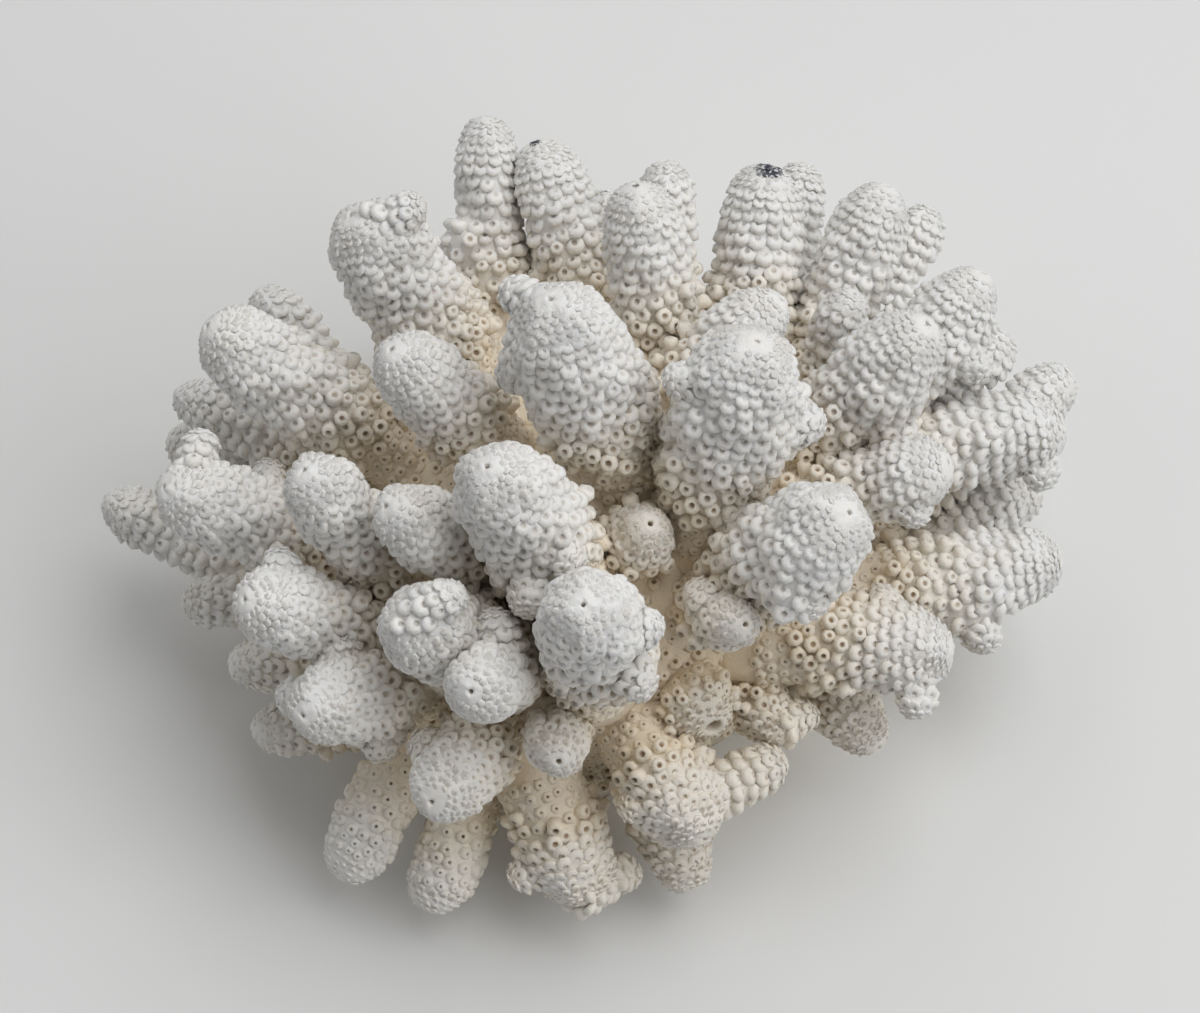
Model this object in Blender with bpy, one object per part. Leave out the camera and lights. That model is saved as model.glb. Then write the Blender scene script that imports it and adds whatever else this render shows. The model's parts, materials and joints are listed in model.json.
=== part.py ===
"""Finger coral: a bleached colony of thick, blunt fingers on a low crust that is cut flat underneath.

The colony grows outwards from one place a little above the cut. Every finger is laid out from that
growth centre: its foot and its tip are each a compass bearing and a lift above the horizontal, in
degrees, and the tip also has its reach from the growth centre in millimetres. Bearing 0 points along
+X and 90 along +Y, and the crown is up, along +Z.
"""

from dataclasses import dataclass
import math
import random

import bpy
import numpy as np

MM = 0.001

# The crust, in millimetres and degrees.
GROWTH_HEIGHT = 14.0
GROWTH_CENTRE = np.array((0.0, 0.0, GROWTH_HEIGHT))
CRUST_REACH = 40.0
HOLLOW_DEPTH = 13.0
HOLLOW_BEARING, HOLLOW_LIFT = -62.0, -5.0
HOLLOW_SPREAD = 38.0
CRUST_SIDES = 24
CRUST_LIFTS = (-9, 3, 15, 27, 39, 51, 62, 72, 81)
CUT_LIFT = -20.0
CUT_UNDERCUT = 1.5
CRUST_PIT_DEPTH = 1.2

# The fingers, in millimetres.
GAP = 0.5
FLOOR_CLEARANCE = 1.5
NEIGHBOUR_GAP = 0.8
CLEAR_OF_NEIGHBOUR = 2.6
KNOB_EVERY = 3
KNOB_RISE = 1.3
KNOB_DIP = 0.5
GIRTH_SPREAD = 0.35
ROW_LIFT = 0.8
STUB_HOLE_DEPTH = 3.5
BUD_SHOULDER = 0.4
BUD_MIDDLE, BUD_EDGE = 0.8, 1.5
SLIMMEST = 0.15
FITTING_STEPS = 12
SIDE_REFERENCE = (0.3, 0.2, 1.0)

# How thick a finger is, as a share of half its girth, at shares of the way from its foot to its tip.
TAPER_ALONG = (0.0, 0.3, 0.5, 0.7, 1.0)
TAPER_SHARE = (0.88, 1.0, 1.0, 0.96, 0.9)

# The domed end: how far below the tip each ring lies and how wide it is, both as shares of the radius.
DOME_OF_THREE = ((1.05, 0.92), (0.48, 0.71), (0.1, 0.4))
DOME_OF_TWO = ((0.8, 0.9), (0.18, 0.52))

# Sides and rings of a thick, a middling and a slim finger, and the least girth of the first two.
THICK_GIRTH, MIDDLING_GIRTH = 12.5, 9.0
THICK_GRID, MIDDLING_GRID, SLIM_GRID = (12, 9), (9, 8), (9, 6)

# Towards which side of a finger a bud stands.
LEFT, RIGHT = (-1, 0, 0), (1, 0, 0)
REAR, FRONT = (0, 1, 0.3), (0, -1, -0.3)
LEFT_REAR, RIGHT_REAR = (-1, 0.8, 0.2), (1, 0.5, 0)
RIGHT_FRONT, RIGHT_BELOW = (1, -0.9, 0), (0.8, 0, -0.6)

BONE_WHITE = (0.86, 0.86, 0.84)
CREAM = (0.82, 0.76, 0.64)
SHADED_WHITE = (0.80, 0.79, 0.75)
DRY_ROUGHNESS = 0.75
SHARP_ANGLE = math.radians(50)


@dataclass(frozen=True)
class Bud:
    """A short side shoot, fused to its finger."""

    along: float
    toward: tuple
    length: float


@dataclass(frozen=True)
class Finger:
    """One branch: foot is (bearing, lift), tip is (bearing, lift, reach), and girth is its full width."""

    name: str
    foot: tuple
    tip: tuple
    girth: float
    buds: tuple = ()
    broken: bool = False
    colour: tuple = BONE_WHITE


CROWN = (
    Finger("crown_rear_left", (48, 82), (123, 81, 74.5), 16.5,
           (Bud(0.62, LEFT, 3.5), Bud(0.9, LEFT_REAR, 1.8))),
    Finger("crown_rear_right", (-13, 70), (13, 74, 74.5), 17,
           (Bud(0.6, RIGHT, 4.5), Bud(0.75, LEFT, 2.0))),
    Finger("crown_left", (-111, 69), (-140, 75, 71.5), 15.5,
           (Bud(0.4, FRONT, 3.5), Bud(0.5, RIGHT_FRONT, 2.5))),
    Finger("crown_right", (-32, 56), (-24, 60, 70), 16,
           (Bud(0.4, LEFT_REAR, 4.5), Bud(0.62, FRONT, 3.0))),
    Finger("crown_front", (-92, 50), (-94, 66, 72), 14.5,
           (Bud(0.7, RIGHT, 2.5), Bud(0.5, RIGHT_FRONT, 3.5))),
    Finger("centre_small", (-56, 76), (-56, 76, 50), 9),
    Finger("centre_low", (-45, 57), (-50, 56, 54), 9, (Bud(0.5, LEFT_REAR, 3.0),)),
)

REAR_FINGERS = (
    Finger("rear_tall", (116, 29), (106, 36, 76), 11.5, (Bud(0.45, LEFT, 2.5), Bud(0.2, LEFT, 3.5))),
    Finger("rear_specked", (92, 34), (100, 38, 71), 13.5),
    Finger("rear_middle", (68, 56), (82.5, 58, 70), 12.5),
    Finger("rear_behind", (66, 43), (79, 44, 69), 8.5),
    Finger("rear_stained", (50, 33), (64.5, 37, 71.5), 14.5),
    Finger("rear_stained_behind", (50, 12), (62.5, 25, 74.5), 9.5),
    Finger("rear_right", (39, 26), (48, 35, 77), 13),
    Finger("rear_right_behind", (30, 8), (47.5, 18.5, 80), 8),
    Finger("rear_short", (60, 66), (41, 58, 63), 11),
    Finger("rear_small", (28, 38), (37, 46, 65), 7),
    Finger("rear_low_left", (124, 2), (119, 6, 64), 12.4, colour=SHADED_WHITE),
    Finger("rear_low_middle", (92, 8), (88, 14, 67), 12.4, colour=SHADED_WHITE),
    Finger("rear_low_right", (64, -4), (62, 1, 64), 12.4, colour=SHADED_WHITE),
)

RIGHT_FINGERS = (
    Finger("right_rear", (21, 20), (31.5, 32, 77), 12.5, (Bud(0.7, RIGHT_FRONT, 4.0),)),
    Finger("right_behind", (18, 12), (28, 20, 74.5), 8.5),
    Finger("right_tip_small", (12, 6), (22.7, 13, 80.5), 10.5),
    Finger("right_upper", (20, 28), (14.5, 19, 75.5), 14.5, (Bud(0.85, FRONT, 2.5),)),
    Finger("right_inner", (17, 42), (21, 49, 73), 14, (Bud(0.5, RIGHT_FRONT, 5.0),)),
    Finger("right_middle", (6, 47), (2, 42, 65), 11.5, (Bud(0.75, FRONT, 2.5),)),
    Finger("right_lower", (-6, 15), (0.5, 11.5, 70.5), 14.5, (Bud(0.6, FRONT, 5.0),)),
    Finger("right_front", (-33, 34), (-21, 26, 59.5), 13.5, (Bud(0.6, REAR, 2.5), Bud(0.8, FRONT, 3.0))),
    Finger("front_right_small", (-24, 12), (-34, 10, 50), 10),
    Finger("front_right_rough", (-42, 26), (-47, 23, 43), 8.5, (Bud(0.8, RIGHT, 2.0),)),
    Finger("front_right_stub", (-60, 36), (-61, 33, 40.5), 9.5, broken=True),
    Finger("right_underneath", (9, -1), (14, 5, 71), 11, colour=SHADED_WHITE),
)

LEFT_FINGERS = (
    Finger("left_rear", (130, 44), (137.5, 52.5, 76), 15.5, (Bud(0.93, RIGHT, 2.5),)),
    Finger("left_rear_thin", (148, 18), (142.5, 22, 71), 8.5),
    Finger("left_upper", (155, 37), (161, 42, 77), 14.5),
    Finger("left_low_rear", (163, 20), (160.5, 21.5, 72), 9, colour=SHADED_WHITE),
    Finger("left_low_middle", (161, 6), (162.5, 12, 71), 9, colour=SHADED_WHITE),
    Finger("left_inner_rear", (154, 65), (162, 65, 68.5), 12.5),
    Finger("left_far_low", (-174, 2), (172, 11, 77), 8.5, colour=SHADED_WHITE),
    Finger("left_middle", (180, 25), (-178, 36, 74), 13, (Bud(0.85, REAR, 3.0), Bud(0.5, REAR, 2.5))),
    Finger("left_inner", (-162, 44), (-170, 56, 70), 11.5),
    Finger("left_centre", (-145, 64), (-157.5, 62, 64.5), 11.5),
    Finger("left_low_front", (-173, 14), (-174, 13, 64), 7.5, colour=SHADED_WHITE),
    Finger("left_front", (-152, 32), (-157, 42, 69), 12.5, (Bud(0.8, REAR, 2.5),)),
    Finger("left_front_small", (-160, 13), (-163, 14, 58.5), 9, colour=SHADED_WHITE),
    Finger("front_left", (-141, 31), (-140, 36, 64), 13,
           (Bud(0.7, LEFT, 3.5), Bud(0.6, REAR, 3.0), Bud(0.4, FRONT, 3.0))),
    Finger("front_left_low", (-151, 2), (-156, 4, 57), 9, colour=SHADED_WHITE),
)

FRONT_FINGERS = (
    Finger("front_broad", (-131, 50), (-134, 55.5, 64.5), 14.5, (Bud(0.9, RIGHT_REAR, 2.0),)),
    Finger("front_centre", (-115, 53), (-115, 53, 65), 11.5, (Bud(0.55, REAR, 3.5),)),
    Finger("front_centre_small", (-101, 39), (-98, 42, 53), 8),
    Finger("front_low_left", (-136, 7), (-130.5, -1, 58.5), 11.5),
    Finger("front_middle_left", (-119, 29), (-117.5, 33, 58.5), 12, (Bud(0.55, LEFT_REAR, 2.0),)),
    Finger("front_low_middle", (-121, 4), (-117.5, -3, 55), 11),
    Finger("front_middle", (-105, 14), (-92, 2, 49), 14, (Bud(0.9, RIGHT_BELOW, 4.0), Bud(0.6, LEFT, 2.5))),
    Finger("front_right", (-77, 27), (-71.5, 20, 49.5), 14, (Bud(0.64, RIGHT, 9.0), Bud(0.5, LEFT, 1.5))),
    Finger("front_right_low", (-76, 3), (-73, -5, 47.5), 10.5),
)

FINGERS = CROWN + REAR_FINGERS + RIGHT_FINGERS + LEFT_FINGERS + FRONT_FINGERS


def unit(vector):
    return vector / np.linalg.norm(vector)


def direction(bearing, lift):
    """The unit vector at a compass bearing and a lift above the horizontal, both in degrees."""
    turn, rise = math.radians(bearing), math.radians(lift)
    return np.array((math.cos(rise) * math.cos(turn), math.cos(rise) * math.sin(turn), math.sin(rise)))


HOLLOW_DIRECTION = direction(HOLLOW_BEARING, HOLLOW_LIFT)


def crust_reach(toward):
    """How far the crust reaches from the growth centre: a dome that is shallower at the front right."""
    off_hollow = math.degrees(math.acos(float(np.clip(toward @ HOLLOW_DIRECTION, -1, 1))))
    return CRUST_REACH - HOLLOW_DEPTH * math.exp(-((off_hollow / HOLLOW_SPREAD) ** 2) / 2)


def on_crust(toward, above=0.0):
    return GROWTH_CENTRE + toward * (crust_reach(toward) + above)


def clear_of_crust(point, above):
    """The point itself, or straight out from it where it would lie lower than this above the crust."""
    from_centre = point - GROWTH_CENTRE
    toward = unit(from_centre)
    least = crust_reach(toward) + above
    return point if np.linalg.norm(from_centre) >= least else GROWTH_CENTRE + toward * least


FOOT_POINTS = np.array([on_crust(direction(*finger.foot), GAP) for finger in FINGERS])
TIP_POINTS = np.array([GROWTH_CENTRE + direction(*f.tip[:2]) * f.tip[2] for f in FINGERS])
RADII = np.array([finger.girth / 2 for finger in FINGERS])


def depths(point):
    """How far the point lies outside each finger's plain tapered form, and less than nothing inside it."""
    spans = TIP_POINTS - FOOT_POINTS
    along = ((point - FOOT_POINTS) * spans).sum(axis=1) / (spans**2).sum(axis=1)
    along = np.clip(along, 0, 1)
    nearest = FOOT_POINTS + along[:, None] * spans
    return np.linalg.norm(point - nearest, axis=1) - RADII * np.interp(along, TAPER_ALONG, TAPER_SHARE)


def has_room(index, point):
    """Whether the point is above the ground and in this finger's own share of the space, or clear of others."""
    outside = depths(point)
    own = outside[index]
    outside[index] = math.inf
    nearest = outside.min()
    return point[2] >= FLOOR_CLEARANCE and (own + NEIGHBOUR_GAP <= nearest or nearest >= CLEAR_OF_NEIGHBOUR)


def fitted(index, centre, sideways, wanted, above):
    """The surface point on this side of the finger, drawn in until it keeps clear of its neighbours."""
    def surface(share):
        return clear_of_crust(centre + sideways * wanted * share, above)

    if has_room(index, surface(1.0)):
        return surface(1.0)
    low, high = SLIMMEST, 1.0
    for _ in range(FITTING_STEPS):
        middle = (low + high) / 2
        if has_room(index, surface(middle)):
            low = middle
        else:
            high = middle
    return surface(low)


def grid_of(finger):
    if finger.girth >= THICK_GIRTH:
        return THICK_GRID
    return MIDDLING_GRID if finger.girth >= MIDDLING_GIRTH else SLIM_GRID


def ring_places(finger, length, rings):
    """The place along the finger and the radius of each ring, from the foot to the dome."""
    radius = finger.girth / 2
    dome = DOME_OF_THREE if rings > SLIM_GRID[1] else DOME_OF_TWO
    end_radius = radius * float(np.interp(1 - radius / length, TAPER_ALONG, TAPER_SHARE))
    domed = [(1 - down * end_radius / length, width * end_radius) for down, width in dome]
    plain = np.linspace(0, domed[0][0], rings - len(dome) + 1)[:-1]
    body = [(t, radius * float(np.interp(t, TAPER_ALONG, TAPER_SHARE))) for t in plain]
    return body + domed


def bud_rise(finger, axis, along, sideways, pitches):
    """How far the buds push the surface out here: all of a bud at its middle and a shoulder beside it."""
    ring_pitch, side_pitch = pitches
    rise = 0.0
    for bud in finger.buds:
        toward = np.array(bud.toward, float)
        toward = unit(toward - axis * (toward @ axis))
        rings_off = abs(along - bud.along) / ring_pitch
        turn = math.acos(float(np.clip(sideways @ toward, -1, 1)))
        off = max(rings_off, turn / side_pitch)
        if off <= BUD_MIDDLE:
            rise = max(rise, bud.length)
        elif off <= BUD_EDGE:
            rise = max(rise, bud.length * BUD_SHOULDER)
    return rise


def finger_mesh(index, finger):
    """A tapered tube of staggered rings of knobs with a domed end, and a foot that follows the crust."""
    sides, rings = grid_of(finger)
    foot, tip = FOOT_POINTS[index], TIP_POINTS[index]
    length = np.linalg.norm(tip - foot)
    axis = (tip - foot) / length
    across = unit(np.cross(axis, SIDE_REFERENCE))
    upward = np.cross(axis, across)
    wobble = random.Random(finger.name)
    places = ring_places(finger, length, rings)
    pitches = (1 / rings, 2 * math.pi / sides)
    points = []
    for row, (along, radius) in enumerate(places):
        centre = foot + axis * length * along
        knob_size = min(1.0, radius / RADII[index])
        for side in range(sides):
            turn = 2 * math.pi * (side + 0.5 * (row % 2)) / sides
            sideways = across * math.cos(turn) + upward * math.sin(turn)
            knob = KNOB_RISE if (side - row // 2 - row) % KNOB_EVERY == 0 else -KNOB_DIP
            wanted = radius + knob * knob_size + wobble.uniform(-GIRTH_SPREAD, GIRTH_SPREAD)
            if row > 0:
                wanted += bud_rise(finger, axis, along, sideways, pitches)
            points.append(fitted(index, centre, sideways, wanted, GAP + ROW_LIFT * row))
            if row == 0:
                points[-1] = on_crust(unit(points[-1] - GROWTH_CENTRE), GAP)
    faces = tube_faces(sides, rings)
    points.append(foot)
    points.append(tip - axis * STUB_HOLE_DEPTH if finger.broken else tip)
    foot_point, tip_point = len(points) - 2, len(points) - 1
    last = (rings - 1) * sides
    for side in range(sides):
        beside = (side + 1) % sides
        faces.append((foot_point, beside, side))
        faces.append((tip_point, last + side, last + beside))
    return points, faces


def tube_faces(sides, rings):
    """Triangles between staggered rings, seen from outside with the axis pointing away from the foot."""
    faces = []
    for row in range(rings - 1):
        low, high = row * sides, (row + 1) * sides
        for side in range(sides):
            beside = (side + 1) % sides
            if row % 2 == 0:
                faces.append((low + side, low + beside, high + side))
                faces.append((low + beside, high + beside, high + side))
            else:
                faces.append((low + side, low + beside, high + beside))
                faces.append((low + side, high + beside, high + side))
    return faces


def crust_mesh():
    """A low dome of pitted rings over one flat face, the cut that the colony rests on."""
    pits = random.Random("crust")
    points = []
    for side in range(CRUST_SIDES):
        toward = direction(360 * side / CRUST_SIDES, CUT_LIFT)
        rim = on_crust(toward) - CUT_UNDERCUT * toward
        rim[2] = 0.0
        points.append(rim)
    for row, lift in enumerate(CRUST_LIFTS, start=1):
        for side in range(CRUST_SIDES):
            toward = direction(360 * (side + 0.5 * (row % 2)) / CRUST_SIDES, lift)
            points.append(on_crust(toward, -pits.uniform(0, CRUST_PIT_DEPTH)))
    rings = len(CRUST_LIFTS) + 1
    faces = tube_faces(CRUST_SIDES, rings)
    crown = len(points)
    points.append(on_crust(direction(0, 90)))
    last = (rings - 1) * CRUST_SIDES
    for side in range(CRUST_SIDES):
        faces.append((crown, last + side, last + (side + 1) % CRUST_SIDES))
    faces.append(tuple(reversed(range(CRUST_SIDES))))
    return points, faces


def coral_material(name, colour):
    material = bpy.data.materials.new(name)
    material.use_nodes = True
    shader = material.node_tree.nodes["Principled BSDF"]
    shader.inputs["Base Color"].default_value = (*colour, 1.0)
    shader.inputs["Roughness"].default_value = DRY_ROUGHNESS
    shader.inputs["Metallic"].default_value = 0.0
    return material


def add_object(name, points, faces, colour):
    mesh = bpy.data.meshes.new(name)
    mesh.from_pydata([tuple(point * MM) for point in points], [], faces)
    mesh.validate()
    mesh.shade_smooth()
    mesh.set_sharp_from_angle(angle=SHARP_ANGLE)
    mesh.materials.append(coral_material(name + "_skeleton", colour))
    bpy.context.scene.collection.objects.link(bpy.data.objects.new(name, mesh))


def main():
    for old in list(bpy.data.objects):
        bpy.data.objects.remove(old)
    add_object("crust", *crust_mesh(), CREAM)
    for index, finger in enumerate(FINGERS):
        add_object(finger.name, *finger_mesh(index, finger), finger.colour)


main()
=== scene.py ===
"""Finger coral: the bleached skeleton's surface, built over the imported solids.

Every finger is made again over its own solid. A smooth core follows the solid, and Geometry Nodes cover
it with corallites, the small cups that the polyps left: grains round the tip, scale-like cups that open
towards the tip on the sides, round tubes lower down and pits near the root. The crust between the fingers
gets pits and short tubes in the same way. Sizes are in metres.
"""

import json
import math
import random

import bpy
import numpy as np
from bpy.props import FloatProperty, FloatVectorProperty, IntProperty, PointerProperty
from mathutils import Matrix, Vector, noise
from mathutils.bvhtree import BVHTree


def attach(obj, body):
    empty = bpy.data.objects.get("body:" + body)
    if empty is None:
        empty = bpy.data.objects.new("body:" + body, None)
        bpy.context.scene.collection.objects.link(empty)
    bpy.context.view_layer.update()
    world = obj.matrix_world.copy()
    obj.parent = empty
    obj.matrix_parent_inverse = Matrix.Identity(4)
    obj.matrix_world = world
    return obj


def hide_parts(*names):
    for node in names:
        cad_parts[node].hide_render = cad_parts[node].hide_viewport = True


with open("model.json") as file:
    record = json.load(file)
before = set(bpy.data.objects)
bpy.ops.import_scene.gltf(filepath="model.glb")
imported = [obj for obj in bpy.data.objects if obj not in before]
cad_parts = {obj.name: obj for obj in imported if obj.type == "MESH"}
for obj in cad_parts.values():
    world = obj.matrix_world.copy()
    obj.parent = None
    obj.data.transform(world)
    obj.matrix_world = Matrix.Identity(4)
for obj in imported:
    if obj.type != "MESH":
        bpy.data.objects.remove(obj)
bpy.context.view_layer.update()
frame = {"nodes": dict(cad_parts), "record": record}

bl_info = {
    "name": "Finger coral",
    "version": (1, 0, 0),
    "blender": (4, 5, 0),
    "location": "3D Viewport > Sidebar > Coral",
    "description": "Builds the fingers, corallites and crust of a bleached finger coral",
    "category": "Add Mesh",
}

BODY = "root"
SEED = 11

# Where the colony grew from, above the cut that it rests on.
GROWTH_CENTRE = np.array((0.0, 0.0, 0.014))

# The finger that is broken off, and those that carry pits on bumps instead of cups and tubes.
BROKEN_FINGER = "front_right_stub"
PITTED_FINGERS = ("front_low_left", "front_low_middle")

# The radius of the dark stain or speck on some tips, how many radii its middle lies off the tip, and
# the shares of the radius within which it is full and at which it ends.
STAINED_TIPS = {"rear_stained": 0.0028, "rear_specked": 0.0012, "right_inner": 0.0007, "rear_middle": 0.0006}
STAIN_SHIFT = np.array((0.1, -0.5, 0.5))
STAIN_FULL, STAIN_END = 0.5, 1.35

# Kinds of corallite, as the lattice points carry them. The core itself has the kind NO_CORALLITE.
NO_CORALLITE, GRAIN, CUP, TUBE, PIT = -1, 0, 1, 2, 3

KIND_NAMES = {GRAIN: "Grain", CUP: "Cup", TUBE: "Tube", PIT: "Pit"}

# Sides and profiles of the corallites, from the buried rim over the lip down to the throat. Each row is
# (radius, height on the side towards the finger's root, height on the side towards its tip, shift of the
# row's middle towards the tip), in widths.
SIDES = {GRAIN: 5, CUP: 7, TUBE: 7, PIT: 6}
PROFILES = {
    GRAIN: ((0.54, -0.9, -0.9, 0), (0.46, 0.85, 0.3, 0), (0.12, 0.7, 0.2, 0.08)),
    CUP: ((0.5, -0.9, -0.9, 0), (0.62, 0.3, -0.3, 0), (0.53, 0.84, -0.05, 0), (0.22, 0.96, 0.35, 0.12),
          (0.14, 0.3, -0.1, 0.14)),
    TUBE: ((0.46, -0.4, -0.4, 0), (0.53, 0.74, 0.56, 0), (0.24, 1.0, 0.82, 0.03), (0.13, 0.6, 0.5, 0.04)),
    PIT: ((0.6, -0.4, -0.4, 0), (0.41, 0.21, 0.19, 0), (0.14, 0.3, 0.28, 0), (0.09, 0.0, 0.0, 0)),
}

# Towards which side of its finger a bud stands.
LEFT, RIGHT = (-1, 0, 0), (1, 0, 0)
REAR, FRONT = (0, 1, 0.3), (0, -1, -0.3)
LEFT_REAR, RIGHT_REAR = (-1, 0.8, 0.2), (1, 0.5, 0)
RIGHT_FRONT, RIGHT_BELOW = (1, -0.9, 0), (0.8, 0, -0.6)

# The buds of the fingers that have some: the share of the way to the tip, the side, and how far the bud
# stands out, in millimetres.
BUDS = {
    "crown_rear_left": ((0.62, LEFT, 3.5), (0.9, LEFT_REAR, 1.8)),
    "crown_rear_right": ((0.6, RIGHT, 4.5), (0.75, LEFT, 2.0)),
    "crown_left": ((0.4, FRONT, 3.5), (0.5, RIGHT_FRONT, 2.5)),
    "crown_right": ((0.4, LEFT_REAR, 4.5), (0.62, FRONT, 3.0)),
    "crown_front": ((0.7, RIGHT, 2.5), (0.5, RIGHT_FRONT, 3.5)),
    "centre_low": ((0.5, LEFT_REAR, 3.0),),
    "rear_tall": ((0.45, LEFT, 2.5), (0.2, LEFT, 3.5)),
    "right_rear": ((0.7, RIGHT_FRONT, 4.0),),
    "right_upper": ((0.85, FRONT, 2.5),),
    "right_inner": ((0.5, RIGHT_FRONT, 5.0),),
    "right_middle": ((0.75, FRONT, 2.5),),
    "right_lower": ((0.6, FRONT, 5.0),),
    "right_front": ((0.6, REAR, 2.5), (0.8, FRONT, 3.0)),
    "front_right_rough": ((0.8, RIGHT, 2.0),),
    "left_rear": ((0.93, RIGHT, 2.5),),
    "left_middle": ((0.85, REAR, 3.0), (0.5, REAR, 2.5)),
    "left_front": ((0.8, REAR, 2.5),),
    "front_left": ((0.7, LEFT, 3.5), (0.6, REAR, 3.0), (0.4, FRONT, 3.0)),
    "front_broad": ((0.9, RIGHT_REAR, 2.0),),
    "front_centre": ((0.55, REAR, 3.5),),
    "front_middle_left": ((0.55, LEFT_REAR, 2.0),),
    "front_middle": ((0.9, RIGHT_BELOW, 4.0), (0.6, LEFT, 2.5)),
    "front_right": ((0.64, RIGHT, 9.0), (0.5, LEFT, 1.5)),
}


# What all lengths and all colours of the settings say.
LENGTH = {"unit": "LENGTH", "precision": 4}
COLOUR = {"subtype": "COLOR", "size": 3, "min": 0.0, "max": 1.0}


class CoralSizes(bpy.types.PropertyGroup):
    """Sizes of the corallites and of the surface that they stand on."""

    grain_width: FloatProperty(
        name="Grain width", description="Width of the sugary corallites round a tip",
        default=0.0010, min=0.0005, max=0.004, **LENGTH)
    cup_width: FloatProperty(
        name="Cup width", description="Width of the scale-like corallites on a finger's sides",
        default=0.00225, min=0.001, max=0.006, **LENGTH)
    smooth_tip: FloatProperty(
        name="Smooth tip", description="Reach of the smooth end of a thick finger, measured from its tip",
        default=0.0023, min=0.0005, max=0.01, **LENGTH)
    grain_reach: FloatProperty(
        name="Grain reach", description="Distance from a thick finger's tip up to which there are grains",
        default=0.0068, min=0.001, max=0.02, **LENGTH)
    cup_reach: FloatProperty(
        name="Cup reach", description="Distance from a thick finger's tip at which cups have their full size",
        default=0.015, min=0.002, max=0.05, **LENGTH)
    tall_reach: FloatProperty(
        name="Tall reach", description="Distance from a thick finger's tip at which cups are tallest",
        default=0.019, min=0.002, max=0.06, **LENGTH)
    packing_across: FloatProperty(
        name="Packing across", description="Distance between neighbours in a row, in widths",
        default=1.04, min=0.8, max=2.0)
    packing_along: FloatProperty(
        name="Packing along", description="Distance between rows, in widths",
        default=0.95, min=0.6, max=2.0)
    lean: FloatProperty(
        name="Lean", description="How far the cups lean towards the tip",
        default=math.radians(15), subtype="ANGLE")
    inset: FloatProperty(
        name="Inset", description="How far the smooth core lies under the solid's surface, below its tip",
        default=0.0012, min=0.0, max=0.003, **LENGTH)
    axial_hole: FloatProperty(
        name="Axial hole", description="Radius of the hole in the corallite at a finger's tip",
        default=0.00038, min=0.0002, max=0.002, **LENGTH)
    pit_spacing: FloatProperty(
        name="Pit spacing", description="Least distance between the sunken pits of the crust",
        default=0.0019, min=0.001, max=0.01, **LENGTH)
    pit_width: FloatProperty(
        name="Pit width", description="Width of a sunken pit with its low rim",
        default=0.0019, min=0.0005, max=0.005, **LENGTH)
    size_spread: FloatProperty(
        name="Size spread", description="How much neighbouring corallites differ in size",
        default=0.13, min=0.0, max=0.5)
    turn_spread: FloatProperty(
        name="Turn spread", description="How far a corallite may lean out of line",
        default=math.radians(11), subtype="ANGLE")
    seed: IntProperty(name="Seed", description="Picks another growth of the same coral", default=SEED)


class CoralColours(bpy.types.PropertyGroup):
    """Colours of the dry skeleton, with painted shade in the corallites' throats."""

    bone: FloatVectorProperty(
        name="Bone", description="Bleached skeleton at the tips",
        default=(0.90, 0.89, 0.867), **COLOUR)
    # The cream is the skeleton's own tone lower down, warmed further as painted shade deep between the
    # fingers.
    cream: FloatVectorProperty(
        name="Cream", description="Skeleton deep between the fingers",
        default=(0.90, 0.775, 0.585), **COLOUR)
    # Painted shade: the dark brown put at the bottom of every corallite's hole and of the tip holes, over the
    # brownish tone of the deep pits.
    throat: FloatVectorProperty(
        name="Throat", description="Inside of the deepest corallites",
        default=(0.33, 0.23, 0.13), **COLOUR)
    stain: FloatVectorProperty(
        name="Stain", description="Dark stain on a few tips",
        default=(0.045, 0.05, 0.07), **COLOUR)
    floor: FloatVectorProperty(
        name="Floor", description="The pale surface that the coral rests on",
        default=(0.80, 0.805, 0.80), **COLOUR)


def unit(vectors):
    """The vector or rows of vectors, at length 1."""
    vectors = np.asarray(vectors, float)
    return vectors / np.linalg.norm(vectors, axis=-1, keepdims=True)


def smooth_step(low, high, value):
    """From 0 at the low value to 1 at the high one, without a kink."""
    share = np.clip((value - low) / (high - low), 0.0, 1.0)
    return share * share * (3 - 2 * share)


def welded(node):
    """The points of a CAD node and each point's neighbours, from its loose triangles."""
    mesh = frame["nodes"][node].data
    corners = np.array([v.co for v in mesh.vertices], float)
    keys = {}
    index = [keys.setdefault(tuple(key), len(keys)) for key in np.round(corners * 1e6).astype(int)]
    points = np.zeros((len(keys), 3))
    points[index] = corners
    neighbours = [set() for _ in range(len(points))]
    for polygon in mesh.polygons:
        ring = [index[v] for v in polygon.vertices]
        for a, b in zip(ring, ring[1:] + ring[:1]):
            neighbours[a].add(b)
            neighbours[b].add(a)
    return points, neighbours


def rings_from(pole, neighbours):
    """How many edges each point lies from the pole."""
    steps, ring, number = {}, {pole}, 0
    while ring:
        steps.update(dict.fromkeys(ring, number))
        ring = {beside for point in ring for beside in neighbours[point]} - steps.keys()
        number += 1
    return np.array([steps[i] for i in range(len(neighbours))])


# Reading a solid: the direction that turns round its axis are counted from, how many neighbours its foot
# and tip have at least, and the stretch and percentile of its radii that give a finger's usual radius.
TURN_START = (0.31, 0.22, 0.93)
POLE_NEIGHBOURS = 9
MIDDLE_START, MIDDLE_END, USUAL_PERCENTILE = 0.25, 0.8, 60

# How far over the solid's points the core is smoothed, along and around, and how slim its sides and its
# end may be read, as shares of its usual radius.
SMOOTH_ALONG, SMOOTH_AROUND = 0.0030, 0.0030
SLIMMEST_SHARE, NARROWEST_END = 0.8, 0.4

# The flare of the foot, the inset at the tip and the reach of the full inset, and a finger's slight bend.
ROOT_FLARE, FLARE_LENGTH = 0.0014, 0.0045
TIP_INSET, INSET_REACH = 0.0002, 0.017
BEND = 0.0006

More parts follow.
